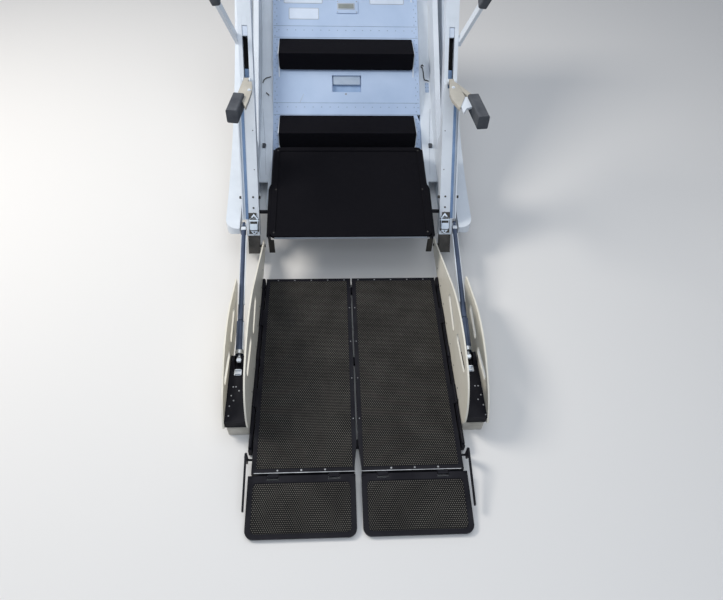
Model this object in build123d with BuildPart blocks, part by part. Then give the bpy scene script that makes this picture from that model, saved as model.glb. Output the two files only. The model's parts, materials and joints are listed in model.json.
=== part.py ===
from build123d import *
import math
import os

os.makedirs("parts", exist_ok=True)

# Frame: origin on the sill hinge axis, X to the right, Y inboard, Z up, lengths in mm
# A side view point is (run, rise): run is the distance inboard from a datum line on the ground
# 641 mm in front of the ramp tip, rise is the height above the ground
HINGE_RUN = 3300
HINGE_RISE = 930

# Door
DOOR_HALF_WIDTH = 540
DOOR_FRAME_X = DOOR_HALF_WIDTH - 62
MAST_X = DOOR_FRAME_X - 58
PAN_HALF = MAST_X - 68
PAN_WALL = 14
DOOR_CORNER_RADIUS = 56
DOOR_REACH = 2000
LOBE_START = (1912, 150)
LOBE_LOW = (1942, 102)
LOBE_NOSE_RADIUS = 34
SKIN_THICKNESS = 6
RIM_START = (2030, 176)
RIM_MIDDLE = (2430, 270)
RIM_END = (3290, 925)
FLANGE_START = (2170, 196)
FLANGE_MIDDLE = (2650, 364)
FLANGE_END = (3255, 872)
FLANGE_DEPTH = 6
SKIN_START = (2055, 118)
SKIN_MIDDLE = (2500, 180)
SKIN_END = (3345, 868)
PANEL_SLOPE = 0.672
PANEL_POINT = (2520, 312)
PANEL_START_RUN = 2290
PANEL_END_RUN = 3262
PANEL_THICKNESS = 5
POCKET_WIDTH = 140
POCKET_LENGTH = 84
POCKET_RUN = 2652
POCKET_DEPTH = 20
POCKET_WALL = 4

# Steps
STEP_HALF_WIDTH = PAN_HALF - 32
STEP_HEIGHT = 82
STEP_RADIUS = 14
BRACKET_THICKNESS = 5
BRACKET_SETBACK = 8
BRACKET_DROP = 26

# Step name, run of the nose and rise of the tread
STEPS = (("step_lower", 2376, 312), ("step_middle", 2700, 527), ("step_upper", 3020, 742))

# Cross frames of the door
END_FRAME = ((2036, 162), (2060, 110), (2110, 110), (2110, 164))
SILL_FRAME = ((3262, 800), (3300, 826), (3350, 858), (3300, 930), (3262, 904))

# Sill hinge
KNUCKLE_RADIUS = 14
HINGE_PIN_HOLE_RADIUS = 6
KNUCKLE_GAPS = (-270, 60)
KNUCKLE_GAP_LENGTH = 210

# Masts
MAST_ANGLE = 53.7
MAST_FOOT = (1852, 56)
MAST_WIDTH = 55
MAST_DEPTH = 50
MAST_WALL = 4
MAST_START = 80
MAST_END = 1150
CHANNEL_WIDTH = 17
CHANNEL_DEPTH = 28
CHANNEL_GROOVE = 7
CHANNEL_START = 148
CHANNEL_END = 640
GRIP_SLOT_START = 690
GRIP_SLOT_END = 960
GRIP_SLOT_WIDTH = 22
GRIP_ALONG = 715
GRIP_DEPTH = -11
GRIP_PIN_RADIUS = 4
# Start from the middle of the mast, radius and length of both ears and the pin
GRIP_EARS = ((-17, 12, 6), (11, 12, 6), (-15, GRIP_PIN_RADIUS, 30))
STANCHION_ALONG = 875
STANCHION_DEPTH = 20
STANCHION_WAY = (0.16, -0.49, 0.86)
STANCHION_LENGTH = 240
STANCHION_WIDTH = 14
STANCHION_BOSS_RADIUS = 18
STANCHION_GRIP_LENGTH = 60
STANCHION_GRIP_WIDTH = 34
STANCHION_GRIP_DEPTH = 40

# Latch parts: start along the mast, length, width and height
LATCH_PARTS = ((88, 90, 34, 4), (108, 36, 26, 14), (148, 10, 30, 12))

# Dark feet in the mast ends
FOOT_WIDTH = 47
FOOT_FRONT = 4
FOOT_BACK = 46
FOOT_END = 200
PIN_RADIUS = 6
ARM_PIN_ALONG = 30
STRUT_PIN_ALONG = 121.6
PIN_DEPTH = 29
HOLE_PLAY = 0.3

# Slide tracks along the stair slope
TRACK_WIDTH = 24
TRACK_INNER = MAST_X - TRACK_WIDTH / 2
TRACK_START = (2062, 137.344)
TRACK_END_RUN = 3262
RUNNER_PLAY = 0.3
RUNNER_START = 170
RUNNER_END = 560
RUNNER_BACK = (2290, 336)

# Landing plate and its legs
LANDING_FRONT = (1778, 232)
LANDING_BACK = (2296, 292)
LANDING_HALF_WIDTH = PAN_HALF - 17
LANDING_THICKNESS = 14
LANDING_RIM = 22
LANDING_CORNER = 24
LANDING_RECESS = 4
LEG_THICKNESS = 6
LEG_FRONT_RUN = 1776
LEG_BACK_RUN = 2284
LEG_LOWER_EDGE = ((1776, 140), (1802, 140), (1828, 190), (1950, 172), (2005, 172), (2044, 226), (2284, 262))
CROSS_BAR_RUN = 1806
CROSS_BAR_DEPTH = 12
CROSS_BAR_BOTTOM = 202
SPACER = (1979, 186)
SPACER_RADIUS = 8

# Skids
SKID_RUN = 1062
SKID_WIDTH = 80
SKID_LENGTH = 100
SKID_HEIGHT = 48
SKID_BACK_RUN = SKID_RUN + SKID_LENGTH / 2

# Side plates
INNER_PLATE_X = MAST_X - 44
OUTER_PLATE_X = MAST_X + 40
PLATE_THICKNESS = 6
PLATE_START = (1024, SKID_HEIGHT)
ARM_EYE_RADIUS = 28

# Platform
BARREL_STATIONS = (965, 1330, 1690)
BARREL_HALF = 25
EYE_STATIONS = (1140, 1510)
EYE_HALF = 40
CROSS_BAR_STATIONS = (960, 1310, 1670)
CROSS_BAR_WIDTH = 30
DECK_REAR_RUN = 1720
DECK_FRONT_RUN = 848
RAIL_FRONT_RUN = 930
RAIL_WIDTH = 12
RAIL_OUTER = INNER_PLATE_X
RAIL_INNER = RAIL_OUTER - RAIL_WIDTH
RAIL_BOTTOM = 4
RAIL_TOP = 33.5
HINGE_X = RAIL_OUTER - RAIL_WIDTH / 2
HINGE_Z = 39.5
BARREL_RADIUS = 5.5
DECK_PIN_RADIUS = 2.5
DECK_EDGE = RAIL_INNER - 5
DECK_SEAM = 3
SEAM_CUT_WIDTH = 12
SEAM_CUT_START = 20
SEAM_CUT_LENGTH = 130
DECK_BOTTOM = 18
DECK_TOP = 36
DECK_BORDER = 16
RIB_WIDTH = 8
RIB_OFFSET = 60
SHEET_THICKNESS = 3
FLAP_TIP_RUN = 641
FLAP_INNER = 10
FLAP_OUTER = INNER_PLATE_X - 7
FLAP_THICKNESS = 10
FLAP_RADIUS = 28
RAMP_HINGE = (838, 30)
RAMP_KNUCKLES = (64, 268)
RAMP_KNUCKLE_WIDTH = 36
KNUCKLE_SIZE = 5
KNUCKLE_ROOM = 26
RAMP_PIN_RADIUS = 2
STAY_OUTLINE = ((910, 20), (910, 68), (902, 78), (890, 76), (722, 40), (722, 30), (880, 62), (891, 20))
STAY_INNER = FLAP_OUTER + 5
STAY_THICKNESS = 6
STAY_PIN = (902, 28)
STAY_PIN_RADIUS = 4

# Side plate outlines: top arc points, rear points, and slots by run, rise, length, width, turn
INNER_TOP = ((1000, 76), (1030, 178), (1116, 246), (1300, 274), (1500, 240))
OUTER_TOP = ((1004, 62), (1040, 118), (1112, 166), (1290, 222), (1470, 202))
INNER_SLOTS = ((1215, 196, 168, 34, -4), (1425, 168, 160, 32, 9))
OUTER_SLOTS = ((1205, 140, 150, 32, -8), (1400, 138, 150, 30, 6))
PLATE_LOW = 20
INNER_REAR = (
    (1885, 90),
    (1885, 36),
    (1700, PLATE_LOW),
    (SKID_BACK_RUN + 12, PLATE_LOW),
    (SKID_BACK_RUN + 2, SKID_HEIGHT),
)
OUTER_REAR = ((1610, 164), (1610, 132), (1500, 62), (1440, SKID_HEIGHT))

# Plate name, distance from the middle, top outline, rear outline and slots
PLATES = (
    ("inner", INNER_PLATE_X, INNER_TOP, INNER_REAR, INNER_SLOTS),
    ("outer", OUTER_PLATE_X, OUTER_TOP, OUTER_REAR, OUTER_SLOTS),
)

# Bracket box between the plates and its ears
BOX_INNER = INNER_PLATE_X + PLATE_THICKNESS
BOX_OUTER = OUTER_PLATE_X
BOX_OUTLINE = ((1016, SKID_HEIGHT), (1016, 84), (1190, 92), (1290, 92), (1290, SKID_HEIGHT))
EAR_OUTLINE = ((1225, 90), (1245, 126), (1265, 126), (1285, 90))
EAR_WIDTH = 9
EAR_GAP = 25

# Struts
STRUT_TOP_X = MAST_X + 43
TUBE_LENGTH = 516
TUBE_BORE_START = 280
ROD_START = 440
ROD_EYE_RADIUS = 11
ROD_EYE_WIDTH = 14
STRUT_LOW_X = MAST_X + 5
STRUT_LOW = (1255, 112)
TUBE_RADIUS = 11
ROD_RADIUS = 6
CLEVIS_RADIUS = 10

# Grip arms and pads
GRIP_BACK_RUN = 2128
GRIP_RISE = 640
ARM_WIDTH = 22
ARM_HEIGHT = 26
ARM_EYE = 11
PAD_WIDTH = 44
PAD_HEIGHT = 56
PAD_CORNER = 6

# Hand grips: side, sign, X of the pad's back and front beyond the mast, run of its front
GRIPS = (("left", -1, 16, 33, 2008), ("right", 1, 68, 85, 1972))


def at(run, rise):
    return (run - HINGE_RUN, rise - HINGE_RISE)


def side_plane(x):
    return Plane.YZ.offset(x)


mast_cos = math.cos(math.radians(MAST_ANGLE))
mast_sin = math.sin(math.radians(MAST_ANGLE))


def on_mast(along, depth):
    run = MAST_FOOT[0] + along * mast_cos + depth * mast_sin
    rise = MAST_FOOT[1] + along * mast_sin - depth * mast_cos
    return (run, rise)


def mast_plane(x):
    y, z = at(*MAST_FOOT)
    return Plane(origin=(x, y, z), x_dir=(1, 0, 0), z_dir=(0, mast_cos, mast_sin))


def panel_rise(run):
    return PANEL_POINT[1] + (run - PANEL_POINT[0]) * PANEL_SLOPE


def track_rise(run):
    return TRACK_START[1] + (run - TRACK_START[0]) * PANEL_SLOPE


def landing_rise(run, below):
    slope = (LANDING_BACK[1] - LANDING_FRONT[1]) / (LANDING_BACK[0] - LANDING_FRONT[0])
    return LANDING_FRONT[1] + (run - LANDING_FRONT[0]) * slope - below


def save(part, name):
    part.label = name
    export_step(part, f"parts/{name}.step")


SIDES = (("left", -1), ("right", 1))
ground_z = -HINGE_RISE
lobe_start_y = LOBE_START[0] - HINGE_RUN
skin_low = at(*SKIN_START)
skin_inside = (
    at(SKIN_END[0] - 5, SKIN_END[1] + 4),
    at(SKIN_MIDDLE[0] - 2, SKIN_MIDDLE[1] + SKIN_THICKNESS),
    at(SKIN_START[0], SKIN_START[1] + SKIN_THICKNESS),
)

# Curved outer skin of the door
with BuildPart() as door_skin:
    with BuildSketch(side_plane(-DOOR_HALF_WIDTH)):
        with BuildLine():
            ThreePointArc(skin_low, at(*SKIN_MIDDLE), at(*SKIN_END))
            Line(at(*SKIN_END), skin_inside[0])
            ThreePointArc(*skin_inside)
            Line(skin_inside[-1], skin_low)
        make_face()
    extrude(amount=2 * DOOR_HALF_WIDTH)
save(door_skin.part, "door_skin")

# White side frames of the door, longer at the free end and rounded there
for side, s in SIDES:
    with BuildPart() as door_frame:
        with BuildSketch(side_plane(s * DOOR_FRAME_X)):
            with BuildLine():
                ThreePointArc(at(*LOBE_START), at(*RIM_MIDDLE), at(*RIM_END))
                Line(at(*RIM_END), skin_inside[0])
                ThreePointArc(*skin_inside)
                Line(skin_inside[-1], skin_low)
                Line(skin_low, at(*LOBE_LOW))
                RadiusArc(at(*LOBE_LOW), at(*LOBE_START), LOBE_NOSE_RADIUS)
            make_face()
        extrude(amount=s * (DOOR_HALF_WIDTH - DOOR_FRAME_X))
        with BuildSketch(Plane.XY.offset(ground_z)):
            with Locations((0, lobe_start_y + DOOR_REACH / 2)):
                RectangleRounded(2 * DOOR_HALF_WIDTH, DOOR_REACH, DOOR_CORNER_RADIUS)
        extrude(amount=DOOR_REACH, mode=Mode.INTERSECT)
    save(door_frame.part, f"door_frame_{side}")

# Inner walls of the door pan with their rim flanges
with BuildPart() as pan_walls:
    for s in (-1, 1):
        with BuildSketch(side_plane(s * PAN_HALF)):
            with BuildLine():
                ThreePointArc(at(*RIM_START), at(*RIM_MIDDLE), at(*RIM_END))
                Line(at(*RIM_END), skin_inside[0])
                ThreePointArc(*skin_inside)
                Line(skin_inside[-1], at(*RIM_START))
            make_face()
        extrude(amount=s * PAN_WALL)
        with BuildSketch(side_plane(s * (PAN_HALF + PAN_WALL))):
            with BuildLine():
                ThreePointArc(at(*FLANGE_START), at(*FLANGE_MIDDLE), at(*FLANGE_END))
                Line(at(*FLANGE_END), at(FLANGE_END[0], FLANGE_END[1] - FLANGE_DEPTH))
                ThreePointArc(
                    at(FLANGE_END[0], FLANGE_END[1] - FLANGE_DEPTH),
                    at(FLANGE_MIDDLE[0], FLANGE_MIDDLE[1] - FLANGE_DEPTH),
                    at(FLANGE_START[0], FLANGE_START[1] - FLANGE_DEPTH),
                )
                Line(at(FLANGE_START[0], FLANGE_START[1] - FLANGE_DEPTH), at(*FLANGE_START))
            make_face()
        extrude(amount=s * (TRACK_INNER - PAN_HALF - PAN_WALL))
save(pan_walls.part, "pan_walls")

# Slide tracks standing on the skin
with BuildPart() as tracks:
    for s in (-1, 1):
        with BuildSketch(side_plane(s * TRACK_INNER)):
            with BuildLine():
                ThreePointArc(*skin_inside)
                Polyline(
                    skin_inside[-1],
                    at(*TRACK_START),
                    at(TRACK_END_RUN, track_rise(TRACK_END_RUN)),
                    skin_inside[0],
                )
            make_face()
        extrude(amount=s * TRACK_WIDTH)
save(tracks.part, "tracks")

# Cross frame at the free end
with BuildPart() as door_end_frame:
    with BuildSketch(side_plane(-PAN_HALF)):
        with BuildLine():
            Polyline(*[at(*point) for point in END_FRAME], close=True)
        make_face()
    extrude(amount=2 * PAN_HALF)
    add(door_skin.part, mode=Mode.SUBTRACT)
end_frame_top = door_end_frame.solids().sort_by(Axis.Z)[-1]
save(end_frame_top, "door_end_frame")

# Cross frame at the sill with the hinge knuckles
with BuildPart() as sill_frame:
    with BuildSketch(side_plane(-PAN_HALF)):
        with BuildLine():
            Polyline(*[at(*point) for point in SILL_FRAME], close=True)
        make_face()
    extrude(amount=2 * PAN_HALF)
    with BuildSketch(side_plane(-PAN_HALF)):
        Circle(KNUCKLE_RADIUS)
    extrude(amount=2 * PAN_HALF)
    add(door_skin.part, mode=Mode.SUBTRACT)
    for x in KNUCKLE_GAPS:
        with BuildSketch(side_plane(x)):
            Circle(KNUCKLE_RADIUS + 3)
        extrude(amount=KNUCKLE_GAP_LENGTH, mode=Mode.SUBTRACT)
    with BuildSketch(side_plane(-PAN_HALF)):
        Circle(HINGE_PIN_HOLE_RADIUS)
    extrude(amount=2 * PAN_HALF, mode=Mode.SUBTRACT)
save(sill_frame.solids().sort_by(Axis.Z)[-1], "sill_frame")

# Riveted inner panel with the handle pocket
with BuildPart() as inner_panel:
    with BuildSketch(side_plane(-PAN_HALF)):
        with BuildLine():
            Polyline(
                at(PANEL_START_RUN, panel_rise(PANEL_START_RUN)),
                at(PANEL_END_RUN, panel_rise(PANEL_END_RUN)),
                at(PANEL_END_RUN, panel_rise(PANEL_END_RUN) - PANEL_THICKNESS),
                at(PANEL_START_RUN, panel_rise(PANEL_START_RUN) - PANEL_THICKNESS),
                close=True,
            )
        make_face()
    extrude(amount=2 * PAN_HALF)
    pocket_y, pocket_z = at(POCKET_RUN, panel_rise(POCKET_RUN))
    pocket_plane = Plane(
        origin=(0, pocket_y, pocket_z),
        x_dir=(1, 0, 0),
        z_dir=(0, -PANEL_SLOPE, 1),
    )
    with BuildSketch(pocket_plane.offset(-POCKET_DEPTH - POCKET_WALL)):
        Rectangle(POCKET_WIDTH + 2 * POCKET_WALL, POCKET_LENGTH + 2 * POCKET_WALL)
    extrude(amount=POCKET_DEPTH + POCKET_WALL - PANEL_THICKNESS / 2)
    with BuildSketch(pocket_plane.offset(-POCKET_DEPTH)):
        Rectangle(POCKET_WIDTH, POCKET_LENGTH)
    extrude(amount=2 * POCKET_DEPTH, mode=Mode.SUBTRACT)
save(inner_panel.part, "inner_panel")

for name, nose_run, nose_rise in STEPS:
    low = nose_rise - STEP_HEIGHT
    back_top = PANEL_POINT[0] + (nose_rise - PANEL_POINT[1]) / PANEL_SLOPE
    back_low = PANEL_POINT[0] + (low - PANEL_POINT[1]) / PANEL_SLOPE
    with BuildPart() as step:
        with BuildSketch(side_plane(-STEP_HALF_WIDTH)):
            with BuildLine():
                Polyline(
                    at(nose_run, nose_rise),
                    at(nose_run, low),
                    at(back_low, low),
                    at(back_top, nose_rise),
                    close=True,
                )
            make_face()
        extrude(amount=2 * STEP_HALF_WIDTH)
        bottom = step.edges().filter_by(Axis.Y).sort_by(Axis.Z)[0:2]
        fillet(bottom, radius=STEP_RADIUS)
    save(step.part, name)

# White end brackets of the steps
with BuildPart() as step_brackets:
    for name, nose_run, nose_rise in STEPS:
        low = nose_rise - STEP_HEIGHT
        back_top = PANEL_POINT[0] + (nose_rise - PANEL_POINT[1]) / PANEL_SLOPE
        bracket_low = low - BRACKET_DROP
        back_low = PANEL_POINT[0] + (bracket_low - PANEL_POINT[1]) / PANEL_SLOPE
        for s in (-1, 1):
            with BuildSketch(side_plane(s * STEP_HALF_WIDTH)):
                with BuildLine():
                    Polyline(
                        at(nose_run + BRACKET_SETBACK, nose_rise - 6),
                        at(nose_run + BRACKET_SETBACK, low + 12),
                        at(back_low, bracket_low),
                        at(back_top - 9, nose_rise - 6),
                        close=True,
                    )
                make_face()
            extrude(amount=s * BRACKET_THICKNESS)
save(step_brackets.part, "step_brackets")

# Black landing plate with a raised rim
landing_length = math.dist(LANDING_FRONT, LANDING_BACK)
landing_y, landing_z = at(*LANDING_FRONT)
landing_plane = Plane(
    origin=(0, landing_y, landing_z),
    x_dir=(1, 0, 0),
    z_dir=(0, LANDING_FRONT[1] - LANDING_BACK[1], LANDING_BACK[0] - LANDING_FRONT[0]),
)
with BuildPart() as landing_plate:
    with BuildSketch(landing_plane.offset(-LANDING_THICKNESS)):
        with Locations((0, landing_length / 2)):
            RectangleRounded(2 * LANDING_HALF_WIDTH, landing_length, LANDING_CORNER)
    extrude(amount=LANDING_THICKNESS)
    with BuildSketch(landing_plane.offset(-LANDING_RECESS)):
        with Locations((0, landing_length / 2)):
            RectangleRounded(
                2 * (LANDING_HALF_WIDTH - LANDING_RIM),
                landing_length - 2 * LANDING_RIM,
                LANDING_CORNER / 2,
            )
    extrude(amount=2 * LANDING_RECESS, mode=Mode.SUBTRACT)
save(landing_plate.part, "landing_plate")

# Legs of the landing plate with their spacer pins and cross bar
cross_bar_back = CROSS_BAR_RUN + CROSS_BAR_DEPTH
with BuildPart() as landing_legs:
    for s in (-1, 1):
        with BuildSketch(side_plane(s * LANDING_HALF_WIDTH)):
            with BuildLine():
                Polyline(
                    *[at(*point) for point in LEG_LOWER_EDGE],
                    at(LEG_BACK_RUN, landing_rise(LEG_BACK_RUN, 3)),
                    at(LEG_FRONT_RUN, landing_rise(LEG_FRONT_RUN, 3)),
                    close=True,
                )
            make_face()
        extrude(amount=s * LEG_THICKNESS)
        with BuildSketch(side_plane(s * LANDING_HALF_WIDTH)):
            with Locations(at(*SPACER)):
                Circle(SPACER_RADIUS)
        extrude(amount=s * (MAST_X - MAST_WIDTH / 2 - LANDING_HALF_WIDTH))
    with BuildSketch(side_plane(-LANDING_HALF_WIDTH)):
        with BuildLine():
            Polyline(
                at(CROSS_BAR_RUN, landing_rise(CROSS_BAR_RUN, LANDING_THICKNESS + 0.2)),
                at(CROSS_BAR_RUN, CROSS_BAR_BOTTOM),
                at(cross_bar_back, CROSS_BAR_BOTTOM),
                at(cross_bar_back, landing_rise(cross_bar_back, LANDING_THICKNESS + 0.2)),
                close=True,
            )
        make_face()
    extrude(amount=2 * LANDING_HALF_WIDTH)
save(landing_legs.part, "landing_legs")

# Masts with the stow slot, the outer groove and the strut pin
for side, s in SIDES:
    x = s * MAST_X
    with BuildPart() as mast:
        with BuildSketch(mast_plane(x).offset(MAST_START)):
            with Locations((0, MAST_DEPTH / 2)):
                Rectangle(MAST_WIDTH, MAST_DEPTH)
                Rectangle(
                    MAST_WIDTH - 2 * MAST_WALL,
                    MAST_DEPTH - 2 * MAST_WALL,
                    mode=Mode.SUBTRACT,
                )
        extrude(amount=MAST_END - MAST_START)
        with BuildSketch(mast_plane(x).offset(CHANNEL_START)):
            with Locations((s * (MAST_WIDTH + CHANNEL_WIDTH) / 2, CHANNEL_DEPTH / 2 + 2)):
                Rectangle(CHANNEL_WIDTH, CHANNEL_DEPTH)
            with Locations((s * (MAST_WIDTH + CHANNEL_WIDTH) / 2, CHANNEL_DEPTH / 4)):
                Rectangle(CHANNEL_GROOVE, CHANNEL_DEPTH / 2, mode=Mode.SUBTRACT)
        extrude(amount=CHANNEL_END - CHANNEL_START)
        with BuildSketch(mast_plane(x).offset(GRIP_SLOT_START)):
            Rectangle(GRIP_SLOT_WIDTH, 20)
        extrude(amount=GRIP_SLOT_END - GRIP_SLOT_START, mode=Mode.SUBTRACT)
        with BuildSketch(mast_plane(x).offset(MAST_END)):
            with Locations((0, MAST_DEPTH / 2)):
                Rectangle(MAST_WIDTH, MAST_DEPTH)
        extrude(amount=4)
        for radius, reach in ((12, 5), (PIN_RADIUS, STRUT_TOP_X + 9 - MAST_X - MAST_WIDTH / 2)):
            with BuildSketch(side_plane(s * (MAST_X + MAST_WIDTH / 2))):
                with Locations(at(*on_mast(STRUT_PIN_ALONG, PIN_DEPTH))):
                    Circle(radius)
            extrude(amount=s * reach)
        for start, radius, reach in GRIP_EARS:
            with BuildSketch(side_plane(s * (MAST_X + start))):
                with Locations(at(*on_mast(GRIP_ALONG, GRIP_DEPTH))):
                    Circle(radius)
            extrude(amount=s * reach)
    save(mast.part, f"mast_{side}")

# Runners, latches and feet of the masts, then the stanchions
with BuildPart() as runners:
    for s in (-1, 1):
        with BuildSketch(side_plane(s * TRACK_INNER)):
            with BuildLine():
                Polyline(
                    at(*on_mast(RUNNER_START, MAST_DEPTH)),
                    at(*on_mast(RUNNER_END, MAST_DEPTH)),
                    at(*RUNNER_BACK),
                    at(RUNNER_BACK[0], track_rise(RUNNER_BACK[0]) + RUNNER_PLAY),
                    at(TRACK_START[0], TRACK_START[1] + RUNNER_PLAY),
                    close=True,
                )
            make_face()
        extrude(amount=s * TRACK_WIDTH)
save(runners.part, "runners")

with BuildPart() as latches:
    for s in (-1, 1):
        for start, length, width, height in LATCH_PARTS:
            with BuildSketch(mast_plane(s * MAST_X).offset(start)):
                with Locations((0, -height / 2)):
                    Rectangle(width, height)
            extrude(amount=length)
save(latches.part, "latches")

with BuildPart() as mast_feet:
    for s in (-1, 1):
        with BuildSketch(mast_plane(s * MAST_X)):
            with Locations((0, (FOOT_FRONT + FOOT_BACK) / 2)):
                Rectangle(FOOT_WIDTH, FOOT_BACK - FOOT_FRONT)
        extrude(amount=FOOT_END)
        with BuildSketch(side_plane(s * (INNER_PLATE_X - 4))):
            with Locations(at(*on_mast(ARM_PIN_ALONG, PIN_DEPTH))):
                Circle(PIN_RADIUS)
        extrude(amount=s * (MAST_X - INNER_PLATE_X))
save(mast_feet.part, "mast_feet")

stan_y, stan_z = at(*on_mast(STANCHION_ALONG, STANCHION_DEPTH))
with BuildPart() as stanchions:
    for s in (-1, 1):
        stan_plane = Plane(
            origin=(s * (MAST_X + MAST_WIDTH / 2), stan_y, stan_z),
            x_dir=(1, 0, 0),
            z_dir=(s * STANCHION_WAY[0], STANCHION_WAY[1], STANCHION_WAY[2]),
        )
        with BuildSketch(stan_plane):
            with Locations((s * STANCHION_WIDTH / 2, 0)):
                Rectangle(STANCHION_WIDTH, 30)
        extrude(amount=STANCHION_LENGTH)
        with BuildSketch(side_plane(s * (MAST_X + MAST_WIDTH / 2))):
            with Locations((stan_y, stan_z)):
                Circle(STANCHION_BOSS_RADIUS)
        extrude(amount=s * STANCHION_WIDTH)
        with BuildSketch(side_plane(s * (MAST_X + MAST_WIDTH / 2 - 30))):
            with Locations((stan_y, stan_z)):
                Circle(60)
        extrude(amount=s * 30, mode=Mode.SUBTRACT)
save(stanchions.part, "stanchions")

with BuildPart() as stanchion_grips:
    for s in (-1, 1):
        grip_plane = Plane(
            origin=(s * (MAST_X + MAST_WIDTH / 2), stan_y, stan_z),
            x_dir=(1, 0, 0),
            z_dir=(s * STANCHION_WAY[0], STANCHION_WAY[1], STANCHION_WAY[2]),
        )
        with BuildSketch(grip_plane.offset(STANCHION_LENGTH)):
            with Locations((s * 8, 0)):
                RectangleRounded(STANCHION_GRIP_WIDTH, STANCHION_GRIP_DEPTH, 8)
        extrude(amount=STANCHION_GRIP_LENGTH)
save(stanchion_grips.part, "stanchion_grips")

# Platform frame: side rails, cross bars and hinge barrels
with BuildPart() as deck_frame:
    for s in (-1, 1):
        with BuildSketch(side_plane(s * RAIL_INNER)):
            with BuildLine():
                Polyline(
                    at(RAIL_FRONT_RUN, RAIL_BOTTOM),
                    at(DECK_REAR_RUN, RAIL_BOTTOM),
                    at(DECK_REAR_RUN, RAIL_TOP),
                    at(RAIL_FRONT_RUN, RAIL_TOP),
                    close=True,
                )
            make_face()
        extrude(amount=s * (RAIL_OUTER - RAIL_INNER))
        for run in BARREL_STATIONS:
            y, z = at(run, HINGE_Z)
            with BuildSketch(Plane.XZ.offset(-(y + BARREL_HALF))):
                with Locations((s * HINGE_X, z)):
                    Circle(BARREL_RADIUS)
                with Locations((s * (HINGE_X + 1.5), z - 4)):
                    Rectangle(8, 8)
            extrude(amount=2 * BARREL_HALF)
        front_y = at(BARREL_STATIONS[0], 0)[0]
        back_y = at(BARREL_STATIONS[-1], 0)[0]
        with BuildSketch(Plane.XZ.offset(-back_y)):
            with Locations((s * HINGE_X, at(0, HINGE_Z)[1])):
                Circle(DECK_PIN_RADIUS)
        extrude(amount=back_y - front_y)
    for run in CROSS_BAR_STATIONS:
        y, z = at(run, RAIL_BOTTOM)
        with BuildSketch(Plane.XY.offset(z)):
            with Locations((0, y)):
                Rectangle(2 * RAIL_INNER, CROSS_BAR_WIDTH)
        extrude(amount=DECK_BOTTOM - RAIL_BOTTOM)
save(deck_frame.part, "deck_frame")

# Arched side plates with two long slots
arm_pin_run, arm_pin_rise = on_mast(ARM_PIN_ALONG, PIN_DEPTH)
for side, s in SIDES:
    for name, plate_x, top, rear, slots in PLATES:
        with BuildPart() as side_plate:
            with BuildSketch(side_plane(s * plate_x)):
                with BuildLine():
                    Line(at(*PLATE_START), at(*top[0]))
                    ThreePointArc(at(*top[0]), at(*top[1]), at(*top[2]))
                    ThreePointArc(at(*top[2]), at(*top[3]), at(*top[4]))
                    Polyline(at(*top[4]), *[at(*point) for point in rear], at(*PLATE_START))
                make_face()
                if name == "inner":
                    with Locations(at(arm_pin_run, arm_pin_rise)):
                        Circle(ARM_EYE_RADIUS)
                        Circle(PIN_RADIUS + HOLE_PLAY, mode=Mode.SUBTRACT)
                for run, rise, length, width, turn in slots:
                    with Locations(Location((*at(run, rise), 0), (0, 0, turn))):
                        SlotOverall(length, width, mode=Mode.SUBTRACT)
            extrude(amount=s * PLATE_THICKNESS)
        save(side_plate.part, f"side_plate_{name}_{side}")
    with BuildPart() as box:
        with BuildSketch(side_plane(s * BOX_INNER)):
            with BuildLine():
                Polyline(*[at(*point) for point in BOX_OUTLINE], close=True)
            make_face()
        extrude(amount=s * (BOX_OUTER - BOX_INNER))
        for near in (STRUT_LOW_X - EAR_GAP / 2 - EAR_WIDTH + 2.5, STRUT_LOW_X + EAR_GAP / 2 + 2.5):
            with BuildSketch(side_plane(s * near)):
                with BuildLine():
                    Polyline(*[at(*point) for point in EAR_OUTLINE], close=True)
                make_face()
            extrude(amount=s * EAR_WIDTH)
    save(box.part, f"bracket_box_{side}")

with BuildPart() as skids:
    with BuildSketch(Plane.XY.offset(ground_z)):
        with Locations(*[(s * (RAIL_OUTER + SKID_WIDTH / 2), at(SKID_RUN, 0)[0]) for s in (-1, 1)]):
            RectangleRounded(SKID_WIDTH, SKID_LENGTH, 8)
    extrude(amount=SKID_HEIGHT)
save(skids.part, "skids")

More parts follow.
